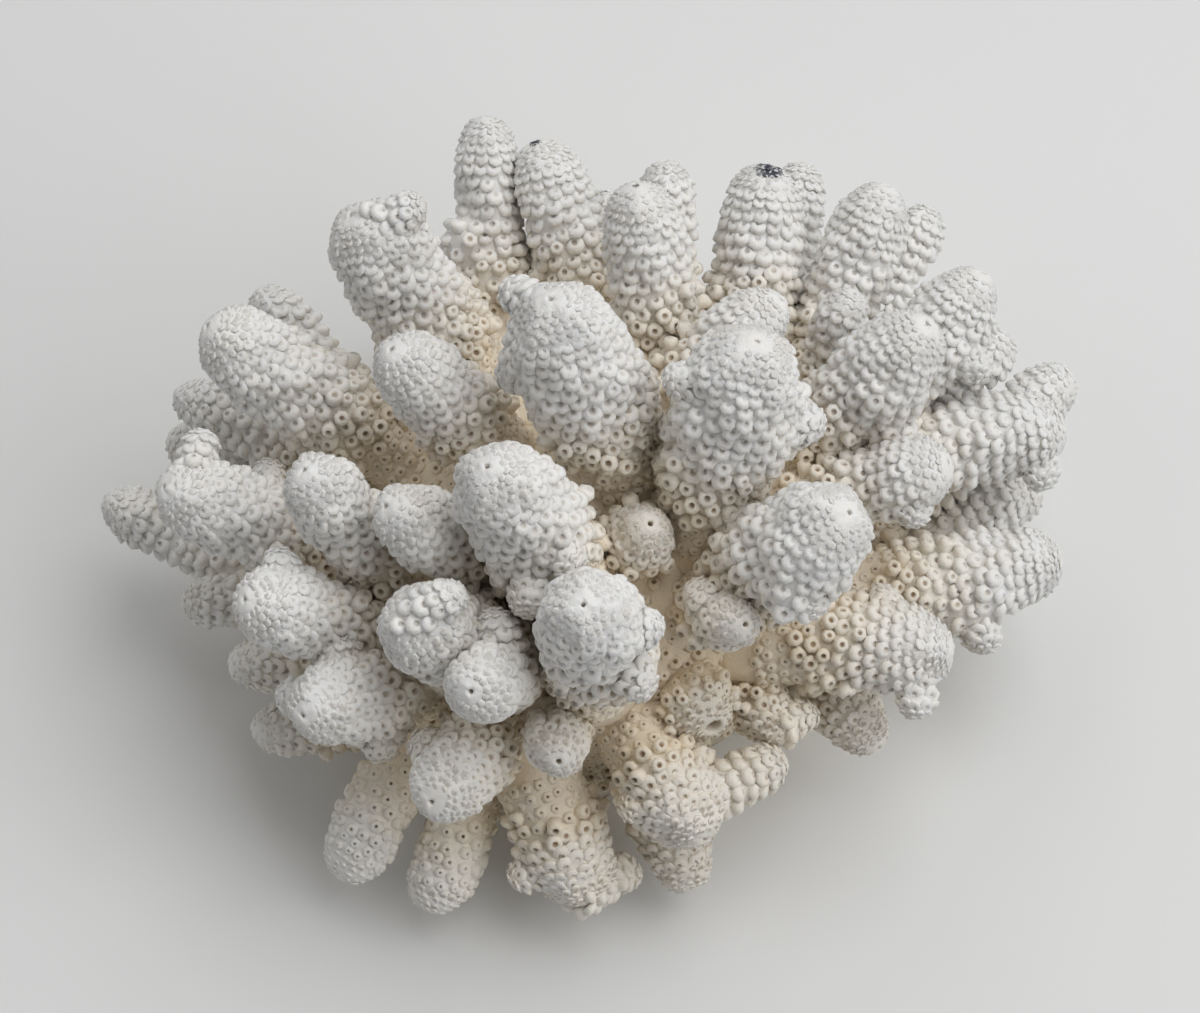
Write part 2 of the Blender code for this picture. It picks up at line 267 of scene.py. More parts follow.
# Heights of the core's lumps and of its sugary grain, and how many of them there are to a metre.
LUMP_HEIGHT, LUMP_SCALE = 0.00022, 230.0
SUGAR_HEIGHT, SUGAR_SCALE = 0.00026, 1150.0

# Lengths of the rounded end of a finger and of a bud, in radii, and of a finger's end at most.
FINGER_NOSE, BUD_NOSE, LONGEST_NOSE = 1.8, 1.0, 0.8
NOSE_STEPS = 60

# A bud's radius, how much wider a longer one is, and how near a solid's point must be to be part of it.
BUD_RADIUS, BUD_GROWTH, BUD_REACH = 0.0021, 0.12, 1.8


class Branch:
    """A finger or a bud: its axis from foot to tip, its width along and around that, and its rounded end.

    The samples say how far along and round the axis its solid's points lie, and how far from it. A bud
    has none. The host is the finger that a bud grows on, and the finger itself otherwise.
    """

    def __init__(self, name, foot, tip, width, nose, inset=0.0, broken=False):
        self.name = name
        self.foot, self.tip = np.asarray(foot, float), np.asarray(tip, float)
        self.length = float(np.linalg.norm(self.tip - self.foot))
        self.axis = (self.tip - self.foot) / self.length
        self.across = unit(np.cross(self.axis, TURN_START))
        self.upward = np.cross(self.axis, self.across)
        self.width, self.widest = width, width
        self.inset, self.broken = inset, broken
        self.samples, self.host = None, self
        self.nose = min(nose, LONGEST_NOSE * self.length)
        self.polar = np.linspace(0, math.pi / 2, NOSE_STEPS)
        steps = np.hypot(np.diff(self.nose * (1 - np.cos(self.polar))), np.diff(width * np.sin(self.polar)))
        self.polar_down = np.concatenate([[0.0], np.cumsum(steps)])
        self.nose_down = float(self.polar_down[-1])
        self.reach = self.nose_down + self.length - self.nose
        self.bend_turn = random.Random(name).uniform(0, 2 * math.pi)

    def side_radius(self, along, turn):
        """The smoothed radius of the sides at places along and around the axis, as if they had no end."""
        if self.samples is None:
            return np.full(np.shape(along), self.width)
        sample_along, sample_turn, sample_radius = self.samples
        off_turn = np.abs((turn[:, None] - sample_turn + math.pi) % (2 * math.pi) - math.pi) * self.width
        off_along = along[:, None] - sample_along
        weight = np.exp(-((off_along / SMOOTH_ALONG) ** 2) - (off_turn / SMOOTH_AROUND) ** 2) + 1e-12
        flare = ROOT_FLARE * np.exp(-np.maximum(along, 0) / FLARE_LENGTH)
        return (weight * sample_radius).sum(axis=1) / weight.sum(axis=1) + flare

    def place(self, down, turn):
        """Surface points at distances down from the tip and at turns round the axis."""
        down, turn = np.asarray(down, float), np.asarray(turn, float)
        polar = np.interp(down, self.polar_down, self.polar)
        below = self.nose * (1 - np.cos(polar)) + np.maximum(down - self.nose_down, 0)
        along = self.length - below
        radius = self.side_radius(along, turn) - self.inset * smooth_step(0.0, INSET_REACH, down)
        bend = BEND * np.sin(math.pi * np.clip(along / self.length, 0, 1))
        sideways = self.across * np.cos(turn)[:, None] + self.upward * np.sin(turn)[:, None]
        bent = self.across * math.cos(self.bend_turn) + self.upward * math.sin(self.bend_turn)
        return (self.foot + self.axis * along[:, None] + sideways * (radius * np.sin(polar))[:, None]
                + bent * bend[:, None])

    def facing(self, down, turn):
        """The outward normal and the direction towards the tip at surface places."""
        step, slip = 0.0004, 0.08
        tipward = unit(self.place(down - step, turn) - self.place(down + step, turn))
        around = unit(self.place(down, turn + slip) - self.place(down, turn - slip))
        return unit(np.cross(around, tipward)), tipward

    def end_share(self, along):
        """How wide the rounded end is at places along the axis, as a share of the width of the sides."""
        into_nose = np.clip((along - self.length + self.nose) / self.nose, 0, 1)
        return np.sqrt(1 - into_nose ** 2)

    def depth(self, points):
        """How far points lie inside this branch, less than nothing outside it."""
        off = points - self.foot
        along = off @ self.axis
        sideways = off - along[:, None] * self.axis
        away = np.linalg.norm(sideways, axis=1)
        depths = np.full(len(points), -1.0)
        near = (away < self.widest + ROOT_FLARE) & (along > 0) & (along < self.length)
        turn = np.arctan2(sideways[near] @ self.upward, sideways[near] @ self.across)
        radius = self.side_radius(along[near], turn) - self.inset
        depths[near] = radius * self.end_share(along[near]) - away[near]
        return depths


def read_finger(node, inset):
    """The branch that a finger's solid stands for, and its buds."""
    points, neighbours = welded(node)
    poles = [i for i, beside in enumerate(neighbours) if len(beside) >= POLE_NEIGHBOURS]
    if len(poles) != 2:
        raise RuntimeError(f"{node}: expected a foot and a tip, and found {len(poles)} poles")
    foot, tip = sorted(poles, key=lambda i: np.linalg.norm(points[i] - GROWTH_CENTRE))
    rings = rings_from(tip, neighbours)
    broken = node == BROKEN_FINGER
    foot_point = points[foot]
    tip_point = points[rings == 1].mean(axis=0) if broken else points[tip]
    axis = unit(tip_point - foot_point)
    length = float(np.linalg.norm(tip_point - foot_point))
    off = points - foot_point
    along = off @ axis
    sideways = off - along[:, None] * axis
    radius = np.linalg.norm(sideways, axis=1)
    across = unit(np.cross(axis, TURN_START))
    turn = np.arctan2(sideways @ np.cross(axis, across), sideways @ across)
    body = (rings > 1) & (rings < rings[foot])
    middle = body & (along > MIDDLE_START * length) & (along < MIDDLE_END * length)
    usual = float(np.percentile(radius[middle], USUAL_PERCENTILE))
    buds = []
    for number, (share, side, height) in enumerate(BUDS.get(node, ()), start=1):
        toward = unit(np.array(side) - (np.array(side) @ axis) * axis)
        root = foot_point + axis * length * share
        width = BUD_RADIUS + BUD_GROWTH * height / 1000
        bud_tip = root + toward * (usual + height / 1000)
        buds.append(Branch(f"{node}_bud_{number}", root, bud_tip, width, BUD_NOSE * width))
        off_bud = points - root
        from_bud = np.linalg.norm(off_bud - (off_bud @ toward)[:, None] * toward, axis=1)
        body &= ~((from_bud < BUD_REACH * width) & (off_bud @ toward > 0) & (radius > usual))
    inner_tip = tip_point - axis * TIP_INSET
    nose = (BUD_NOSE if broken else FINGER_NOSE) * usual
    finger = Branch(node, foot_point, inner_tip, usual, nose, inset, broken)
    full = radius / np.maximum(finger.end_share(along), NARROWEST_END)
    read_radius = np.maximum(full[body], SLIMMEST_SHARE * usual)
    finger.samples, finger.widest = (along[body], turn[body], read_radius), float(read_radius.max())
    for bud in buds:
        bud.host = finger
    return finger, buds


def finger_nodes(words):
    """The nodes of a group of fingers, by the first word of their names."""
    return sorted(n for n in frame["nodes"] if n.split("_")[0] in words)


def all_branches(inset):
    """Every finger with its buds, by node name."""
    return {node: read_finger(node, inset) for node in sorted(frame["nodes"]) if node != "crust"}


class Surface:
    """Points, faces and per-point values of one piece, gathered before its mesh is made."""

    def __init__(self):
        self.points, self.faces = [], []
        self.values = {name: [] for name in ("kind", "warmth", "throat", "stain")}
        self.vectors = {name: [] for name in ("stand", "tipward", "size")}
        self.count = 0

    def add(self, points, faces=(), kind=NO_CORALLITE, throat=0.0, warmth=0.0, stain=0.0,
            stand=(0, 0, 1), tipward=(1, 0, 0), size=(1, 1, 1)):
        number = len(points)
        self.points.append(np.asarray(points, float))
        self.faces.extend(tuple(i + self.count for i in face) for face in faces)
        for name, value in (("kind", kind), ("warmth", warmth), ("throat", throat), ("stain", stain)):
            self.values[name].append(np.broadcast_to(np.asarray(value, float), (number,)))
        for name, value in (("stand", stand), ("tipward", tipward), ("size", size)):
            self.vectors[name].append(np.broadcast_to(np.asarray(value, float), (number, 3)))
        self.count += number

    def mesh(self, name):
        mesh = bpy.data.meshes.new(name)
        mesh.from_pydata(np.concatenate(self.points).tolist(), [], self.faces)
        mesh.shade_smooth()
        for key, parts in self.values.items():
            stored, exact = ("INT", np.int32) if key == "kind" else ("FLOAT", np.float32)
            flat = np.concatenate(parts).astype(exact)
            mesh.attributes.new(key, stored, "POINT").data.foreach_set("value", flat)
        for key, parts in self.vectors.items():
            flat = np.concatenate(parts).astype(np.float32).ravel()
            mesh.attributes.new(key, "FLOAT_VECTOR", "POINT").data.foreach_set("vector", flat)
        return mesh


def ring_faces(rows, sides, turned_over=False):
    """The faces between rings of points that follow each other."""
    faces = []
    for row in range(rows - 1):
        for side in range(sides):
            beside = (side + 1) % sides
            a, b, c, d = (row * sides + side, row * sides + beside,
                          (row + 1) * sides + beside, (row + 1) * sides + side)
            faces.append((a, d, c, b) if turned_over else (a, b, c, d))
    return faces


# Where the skeleton turns from cream to bone white: between these reaches from the growth centre, and
# between these shares of the way from a finger's foot to its tip. The reach counts for so much of it.
# The cream is partly the skeleton's own tone and partly painted warm shade, deepest between the fingers and
# near their feet.
CREAM_REACH, BONE_REACH = 0.034, 0.066
CREAM_SHARE, BONE_SHARE = 0.1, 0.7
REACH_WEIGHT = 0.6


def warmth_at(points, branch=None):
    """How cream-coloured the skeleton is at points on a branch, or on the crust, partly as painted warm
    shade.
    """
    deep = 1 - smooth_step(CREAM_REACH, BONE_REACH, np.linalg.norm(points - GROWTH_CENTRE, axis=1))
    if branch is None:
        return deep
    host = branch.host
    share = ((points - host.foot) @ host.axis) / host.length
    near_foot = 1 - smooth_step(CREAM_SHARE, BONE_SHARE, share)
    return REACH_WEIGHT * deep + (1 - REACH_WEIGHT) * near_foot


def stain_at(branch, points):
    """How stained points are."""
    size = STAINED_TIPS.get(branch.name)
    if size is None:
        return np.zeros(len(points))
    away = np.linalg.norm(points - (branch.tip + STAIN_SHIFT * size), axis=1)
    return 1 - smooth_step(STAIN_FULL * size, STAIN_END * size, away)


# The core's rings: their distance in the tip zone and below it, the zone's reach and the share of the
# nose that it may take, and the fewest points to a ring and rings below the zone.
TIP_STEP, SIDE_STEP, TIP_ZONE, ZONE_SHARE = 0.00045, 0.0014, 0.0055, 0.9
FEWEST_SIDES, FEWEST_RINGS = 14, 4
SUNK_FOOT = 0.006

# The hole at a tip: depth, a bud's radius as a share of a finger's, radius and depth on the broken
# finger, and its rings as (share of the rim's radius, share of the depth, share of painted throat shade).
HOLE_DEPTH, BUD_HOLE = 0.0016, 0.8
BROKEN_HOLE, BROKEN_DEPTH = 0.0013, 0.0036
THROAT_ROWS = ((0.85, 0.12, 0.3), (0.7, 0.5, 0.75), (0.55, 1.0, 1.0))


def roughened(points, outward):
    """The points, moved in and out by the lumps and the sugary grain of the skeleton."""
    moved = points.copy()
    for row, point in enumerate(points):
        lump = LUMP_HEIGHT * noise.noise(Vector(point * LUMP_SCALE))
        sugar = SUGAR_HEIGHT * noise.noise(Vector(point * SUGAR_SCALE))
        moved[row] += outward[row] * (lump + sugar)
    return moved


def add_core(surface, branch, hole):
    """The smooth closed surface of a branch, with the hole at its tip and its foot sunk into the crust."""
    hole_radius, hole_depth = (BROKEN_HOLE, BROKEN_DEPTH) if branch.broken else (hole, HOLE_DEPTH)
    sides = max(FEWEST_SIDES, int(round(2 * math.pi * branch.width / SIDE_STEP)))
    turn = np.arange(sides) * 2 * math.pi / sides
    end = branch.reach + (0.0 if branch.samples is None else SUNK_FOOT)
    tip_end = min(TIP_ZONE, ZONE_SHARE * branch.nose_down)
    below = max(FEWEST_RINGS, int(round((end - tip_end) / SIDE_STEP)))
    downs = np.concatenate([np.arange(hole_radius, tip_end, TIP_STEP), np.linspace(tip_end, end, below)])
    rings = []
    for down in downs:
        at = np.full(sides, down)
        rings.append(roughened(branch.place(at, turn), branch.facing(at, turn)[0]))
    rim = rings[0]
    middle = rim.mean(axis=0)
    throat_rings = [middle + (rim - middle) * share - branch.axis * hole_depth * depth
                    for share, depth, _ in THROAT_ROWS]
    all_rings = throat_rings[::-1] + rings
    points = np.concatenate(all_rings + [[all_rings[0].mean(axis=0)], [all_rings[-1].mean(axis=0)]])
    faces = ring_faces(len(all_rings), sides, turned_over=True)
    bottom, foot = len(points) - 2, len(points) - 1
    last = (len(all_rings) - 1) * sides
    for side in range(sides):
        beside = (side + 1) % sides
        faces.append((bottom, side, beside))
        faces.append((foot, last + beside, last + side))
    # Painted shade in the tip's hole, darker towards its bottom.
    throat = np.zeros(len(points))
    for row, (_, _, value) in enumerate(reversed(THROAT_ROWS)):
        throat[row * sides:(row + 1) * sides] = value
    throat[bottom] = 1.0
    surface.add(points, faces, throat=throat, warmth=warmth_at(points, branch),
                stain=stain_at(branch, points))


# Shares of the way down a finger where tubes begin and where pits begin, and how ragged those limits are.
TUBE_SHARE, PIT_SHARE, RAGGED = 0.6, 0.8, 0.09

# Rows: how far a corallite strays, in widths, the fewest in a row, the points at which a row is measured,
# how far the rows run past the foot, and the rim that they leave round the broken finger's hole.
JITTER, FEWEST_IN_ROW, ROW_SAMPLES, PAST_FOOT, BROKEN_RIM = 0.16, 4, 8, 0.001, 0.0008

# How far corallites stay off the floor, with a margin in heights, and how deep in another branch they may
# stand.
FLOOR_CLEARANCE, HEIGHT_MARGIN, OVERLAP = 0.0004, 1.3, 0.0003

# Heights in widths: of tubes, of cups near the tip and further down, with how much they differ and the
# share of the grains' reach from which they rise, and of pits on bumps and low pits.
TUBE_SHORT, TUBE_LONG = 0.45, 1.15
LOW_CUP, TALL_CUP, UNEVEN, RISE_START = 0.13, 0.46, 0.22, 0.3
BUMP_HEIGHT, PIT_HEIGHT = 1.2, 0.6

# A tube's width and the spacing of low pits, as shares of a cup's, and how much more the first cups lean.
TUBE_WIDTH, PIT_SPREAD, STEEP_LEAN = 0.98, 0.86, 1.2

# Fingers slimmer than this radius have shorter reaches of grains and cups, down to this share.
THICK_RADIUS, THINNEST_SHARE = 0.006, 0.45


def kind_at(branch, down, ragged, grain_end, is_bud):
    """Which corallite grows at this distance down a branch."""
    share = down / branch.reach + ragged
    if down < grain_end:
        return GRAIN
    if branch.name in PITTED_FINGERS:
        return PIT
    if is_bud or share < TUBE_SHARE:
        return CUP
    return TUBE if share < PIT_SHARE else PIT


def add_lattice(surface, branch, parent, others, sizes):
    """Points for the corallites of a branch, in staggered rows that widen away from the tip."""
    chance = random.Random(f"{sizes.seed} {branch.name}")
    slimness = min(1.0, max(THINNEST_SHARE, branch.width / THICK_RADIUS))
    grain_end, cup_end = sizes.grain_reach * slimness, sizes.cup_reach * slimness
    tall_end = sizes.tall_reach * slimness
    down = max(sizes.smooth_tip * slimness, BROKEN_HOLE + BROKEN_RIM if branch.broken else 0.0)
    phase = chance.uniform(0, 2 * math.pi)
    downs, turns, widths, heights, kinds, leans = [], [], [], [], [], []
    while down < branch.reach + PAST_FOOT:
        width = sizes.grain_width + (sizes.cup_width - sizes.grain_width) * smooth_step(0.0, cup_end, down)
        tall = float(smooth_step(RISE_START * grain_end, tall_end, down))
        around = branch.place(np.full(ROW_SAMPLES, down), np.arange(ROW_SAMPLES) * 2 * math.pi / ROW_SAMPLES)
        ring = np.linalg.norm(around - around.mean(axis=0), axis=1).mean() * 2 * math.pi
        low_pits = down / branch.reach >= PIT_SHARE
        pit_width, pit_height = (sizes.pit_width, PIT_HEIGHT) if low_pits else (width, BUMP_HEIGHT)
        spread = PIT_SPREAD if low_pits and parent is None else 1.0
        count = max(FEWEST_IN_ROW, int(round(ring / (width * spread * sizes.packing_across))))
        for number in range(count):
            kind = kind_at(branch, down, chance.uniform(-RAGGED, RAGGED), grain_end, parent is not None)
            downs.append(down + chance.uniform(-JITTER, JITTER) * width)
            turns.append(phase + (number + chance.uniform(-JITTER, JITTER)) * 2 * math.pi / count)
            cup_height = (LOW_CUP + (TALL_CUP - LOW_CUP) * tall) * chance.uniform(1 - UNEVEN, 1 + UNEVEN)
            tube_height = chance.uniform(TUBE_SHORT, TUBE_LONG)
            widths.append({TUBE: TUBE_WIDTH * width, PIT: pit_width}.get(kind, width))
            heights.append({TUBE: tube_height, PIT: pit_height}.get(kind, cup_height))
            leans.append(0.0 if kind == PIT else sizes.lean * (STEEP_LEAN + (1 - STEEP_LEAN) * tall))
            kinds.append(kind)
        phase += math.pi / count
        down += width * spread * sizes.packing_along
    downs, turns, widths, kinds, leans = (np.array(v) for v in (downs, turns, widths, kinds, leans))
    points = branch.place(downs, turns)
    outward, tipward = branch.facing(downs, turns)
    stand = outward * np.cos(leans)[:, None] + tipward * np.sin(leans)[:, None]
    height = widths * np.array(heights)
    kept = (points + stand * height[:, None] * HEIGHT_MARGIN)[:, 2] > FLOOR_CLEARANCE
    for other in others:
        kept &= other.depth(points) < OVERLAP
    if parent is not None:
        kept &= parent.depth(points) < OVERLAP
    points, size = points[kept], np.stack([widths, widths, height], axis=1)[kept]
    surface.add(points, kind=kinds[kept], warmth=warmth_at(points, branch), stain=stain_at(branch, points),
                stand=stand[kept], tipward=tipward[kept], size=size)


def corallite(name, profile, sides):
    """One closed corallite of width 1 that opens along +Z, with the finger's tip towards +X."""
    points, throat = [], []
    for row, (radius, rootward, tipward, shift) in enumerate(profile):
        for side in range(sides):
            turn = 2 * math.pi * (side + 0.5) / sides
            share = (1 + math.cos(turn)) / 2
            points.append((radius * math.cos(turn) + shift, radius * math.sin(turn),
                           rootward + (tipward - rootward) * share))
            # The bottom row of the hole carries painted shade.
            throat.append(1.0 if row == len(profile) - 1 else 0.0)
    faces = ring_faces(len(profile), sides)
    last = (len(profile) - 1) * sides
    faces.append(tuple(range(last, last + sides)))
    faces.append(tuple(reversed(range(sides))))
    mesh = bpy.data.meshes.new(name)
    mesh.from_pydata(points, [], faces)
    mesh.shade_smooth()
    mesh.attributes.new("throat", "FLOAT", "POINT").data.foreach_set("value", throat)
    return bpy.data.objects.new(name, mesh)


def corallite_set():
    """The four corallites that are repeated over the coral, by kind."""
    return {kind: corallite(name.lower() + "_corallite", PROFILES[kind], SIDES[kind])
            for kind, name in KIND_NAMES.items()}


def new_socket(tree, name, way, kind, **settings):
    """An input or output of a node group."""
    socket = tree.interface.new_socket(name=name, in_out=way, socket_type=kind)
    for key, value in settings.items():
        setattr(socket, key, value)


def add_node(tree, kind, inputs, **settings):
    """A node with its settings, and with its inputs set to values or joined to other nodes' outputs."""
    node = tree.nodes.new(kind)
    for key, value in settings.items():
        setattr(node, key, value)
    for key, value in inputs.items():
        if isinstance(value, bpy.types.NodeSocket):
            tree.links.new(value, node.inputs[key])
        else:
            node.inputs[key].default_value = value
    return node


def computed(tree, operation, first, second, clamped=False):
    """The result of one sum on two values or sockets."""
    node = add_node(tree, "ShaderNodeMath", {0: first, 1: second}, operation=operation, use_clamp=clamped)
    return node.outputs[0]


def scaled(tree, vector, factor):
    return add_node(tree, "ShaderNodeVectorMath", {0: vector, "Scale": factor}, operation="SCALE").outputs[0]


def named_attribute(tree, name, data_type):
    node = add_node(tree, "GeometryNodeInputNamedAttribute", {"Name": name}, data_type=data_type)
    return node.outputs["Attribute"]


def corallite_tree():
    """Geometry Nodes: puts a corallite of the right kind on every lattice point of a core."""
    tree = bpy.data.node_groups.new("Corallites on a lattice", "GeometryNodeTree")
    new_socket(tree, "Geometry", "INPUT", "NodeSocketGeometry")
    for name in KIND_NAMES.values():
        new_socket(tree, name, "INPUT", "NodeSocketObject")
    new_socket(tree, "Size Spread", "INPUT", "NodeSocketFloat", default_value=0.1, min_value=0, max_value=0.5)
    new_socket(tree, "Turn Spread", "INPUT", "NodeSocketFloat", default_value=0.1, subtype="ANGLE")
    new_socket(tree, "Seed", "INPUT", "NodeSocketInt", default_value=SEED)
    new_socket(tree, "Material", "INPUT", "NodeSocketMaterial")
    new_socket(tree, "Geometry", "OUTPUT", "NodeSocketGeometry")
    given = tree.nodes.new("NodeGroupInput").outputs

    axes = add_node(tree, "FunctionNodeAxesToRotation",
                    {"Primary Axis": named_attribute(tree, "stand", "FLOAT_VECTOR"),
                     "Secondary Axis": named_attribute(tree, "tipward", "FLOAT_VECTOR")},
                    primary_axis="Z", secondary_axis="X")
    wander = add_node(tree, "FunctionNodeRandomValue",
                      {"Min": (-1, -1, -1), "Max": (1, 1, 1), "Seed": given["Seed"]},
                      data_type="FLOAT_VECTOR")
    tilt = add_node(tree, "FunctionNodeEulerToRotation",
                    {0: scaled(tree, wander.outputs[0], given["Turn Spread"])})
    turned = add_node(tree, "FunctionNodeRotateRotation",
                      {"Rotation": axes.outputs[0], "Rotate By": tilt.outputs[0]}, rotation_space="LOCAL")
    growth = add_node(tree, "FunctionNodeRandomValue",
                      {2: computed(tree, "SUBTRACT", 1.0, given["Size Spread"]),
                       3: computed(tree, "ADD", 1.0, given["Size Spread"]), "Seed": given["Seed"]},
                      data_type="FLOAT")
    scale = scaled(tree, named_attribute(tree, "size", "FLOAT_VECTOR"), growth.outputs[1])

    kind = named_attribute(tree, "kind", "INT")
    joined = tree.nodes.new("GeometryNodeJoinGeometry")
    for number, name in KIND_NAMES.items():
        shape = add_node(tree, "GeometryNodeObjectInfo", {"Object": given[name]})
        chosen = add_node(tree, "FunctionNodeCompare", {2: kind, 3: number},
                          data_type="INT", operation="EQUAL")
        placed = add_node(tree, "GeometryNodeInstanceOnPoints",
                          {"Points": given["Geometry"], "Selection": chosen.outputs[0], "Scale": scale,
                           "Instance": shape.outputs["Geometry"], "Rotation": turned.outputs[0]})
        tree.links.new(placed.outputs[0], joined.inputs[0])
    lattice = add_node(tree, "FunctionNodeCompare", {2: kind, 3: NO_CORALLITE},
                       data_type="INT", operation="GREATER_THAN")
    core = add_node(tree, "GeometryNodeDeleteGeometry",
                    {"Geometry": given["Geometry"], "Selection": lattice.outputs[0]}, domain="POINT")
    tree.links.new(core.outputs[0], joined.inputs[0])

    real = add_node(tree, "GeometryNodeRealizeInstances", {0: joined.outputs[0]})
    coat = add_node(tree, "GeometryNodeSetMaterial",
                    {"Geometry": real.outputs[0], "Material": given["Material"]})
    add_node(tree, "NodeGroupOutput", {0: coat.outputs[0]})
    return tree


def grown(name, surface, shapes, material, sizes, seed):
    """A finished piece: the surface with its corallites, as one plain mesh."""
    piece = bpy.data.objects.new(name, surface.mesh(name))
    bpy.context.scene.collection.objects.link(piece)
    tree = bpy.data.node_groups.get("Corallites on a lattice") or corallite_tree()
    modifier = piece.modifiers.new("Corallites", "NODES")
    modifier.node_group = tree
    values = {"Size Spread": sizes.size_spread, "Turn Spread": sizes.turn_spread, "Seed": seed,
              "Material": material}
    values.update({KIND_NAMES[kind]: shape for kind, shape in shapes.items()})
    for item in tree.interface.items_tree:
        if item.item_type == "SOCKET" and item.in_out == "INPUT" and item.name in values:
            modifier[item.identifier] = values[item.name]
    piece.update_tag()
    depsgraph = bpy.context.evaluated_depsgraph_get()
    depsgraph.update()
    evaluated = piece.evaluated_get(depsgraph)
    mesh = bpy.data.meshes.new_from_object(evaluated, preserve_all_data_layers=True, depsgraph=depsgraph)
    plain = piece.data
    piece.modifiers.remove(modifier)
    piece.data = mesh
    bpy.data.meshes.remove(plain)
    mesh.name = name
    for key in ("kind", "stand", "tipward", "size"):
        if key in mesh.attributes:
            mesh.attributes.remove(mesh.attributes[key])
    if not mesh.polygons:
        raise RuntimeError(f"{name} came out empty")
    return piece


def build_fingers(words, settings):
    """Dresses every finger whose node's name starts with one of the words."""
    sizes = settings.coral_sizes
    branches = all_branches(sizes.inset)
    shapes = corallite_set()
    slots = {part["node"]: part["material_slot"] for part in frame["record"]["subparts"]}
    nodes = finger_nodes(words)
    if not nodes:
        raise RuntimeError(f"the frame has no finger named {words}")
    for number, node in enumerate(nodes):
        finger, buds = branches[node]
        others = [other for name, (other, _) in branches.items() if name != node]
        surface = Surface()
        add_core(surface, finger, sizes.axial_hole)
        add_lattice(surface, finger, None, others, sizes)
        for bud in buds:
            add_core(surface, bud, BUD_HOLE * sizes.axial_hole)
            add_lattice(surface, bud, finger, others, sizes)
        material = skeleton_material(slots[node], settings.coral_colours)
        piece = grown(node + "_skeleton", surface, shapes, material, sizes, sizes.seed + number)
        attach(piece, BODY)
        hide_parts(node)
    for shape in shapes.values():
        bpy.data.meshes.remove(shape.data)


# The crust, seen from the growth centre: how finely it is sampled, how widely it is smoothed, with the
# most that a bearing is stretched near the top, and its lowest and highest rows of points.
CRUST_STEP = math.radians(2.2)
CRUST_BLUR, LEAST_COSINE = math.radians(6), 0.25
CRUST_LOWEST, CRUST_HIGHEST = math.radians(-17), math.radians(88)

# The height at which the solid's rim is read, and the height and number of the crust's lumps.
RIM_HEIGHT = 0.0006
CRUST_LUMP, CRUST_LUMPS = 0.0009, 13.0


def direction(bearing, lift):
    """The unit vector at a bearing from +X and a lift above the floor."""
    return Vector((math.cos(lift) * math.cos(bearing), math.cos(lift) * math.sin(bearing), math.sin(lift)))


def crust_surface():
    """The crust as a smoothed dome over the flat cut underneath, and how far it reaches in a direction."""
    mesh = frame["nodes"]["crust"].data
    tree = BVHTree.FromPolygons([v.co for v in mesh.vertices], [tuple(p.vertices) for p in mesh.polygons])
    centre = Vector(GROWTH_CENTRE)

    def reach(bearing, lift):
        total, number = 0.0, 0
        for off_bearing, off_lift in ((0, 0), (1, 0), (-1, 0), (0, 1), (0, -1)):
            aimed = direction(bearing + off_bearing * CRUST_BLUR / max(LEAST_COSINE, math.cos(lift)),
                              max(CRUST_LOWEST, lift + off_lift * CRUST_BLUR))
            hit = tree.ray_cast(centre, aimed)[0]
            if hit is not None:
                total += (hit - centre).length
                number += 1
        lump = CRUST_LUMP * noise.noise(direction(bearing, lift) * CRUST_LUMPS)
        return total / number + lump

    sides = int(round(2 * math.pi / CRUST_STEP))
    bearings = [2 * math.pi * side / sides for side in range(sides)]
    hits = [tree.ray_cast(Vector((0, 0, RIM_HEIGHT)), direction(bearing, 0.0))[0] for bearing in bearings]
    rows = [np.array([(hit.x, hit.y, 0.0) for hit in hits])]
    for lift in np.arange(CRUST_LOWEST, CRUST_HIGHEST, CRUST_STEP):
        rows.append(np.array([centre + direction(turn, lift) * reach(turn, lift) for turn in bearings]))
    top = np.array([centre + direction(0, math.pi / 2) * reach(0, math.pi / 2)])
    points = np.concatenate(rows + [top, [(0.0, 0.0, 0.0)]])
    faces = ring_faces(len(rows), sides)
    last = (len(rows) - 1) * sides
    for side in range(sides):
        beside = (side + 1) % sides
        faces.append((last + side, last + beside, len(points) - 2))
        faces.append((beside, side, len(points) - 1))
    return points, faces, reach


# On the crust: the share of tubes, how many places are tried, and a tube's width as a share of a cup's,
# its height in widths, how far it leans upwards and the margin over the floor, in heights.
TUBES_ON_CRUST, CRUST_TRIES = 0.3, 12000
CRUST_TUBE_WIDTH, CRUST_TUBE_HEIGHT, CRUST_TUBE_LEAN = 0.85, 0.55, 0.5
CRUST_MARGIN = 1.4


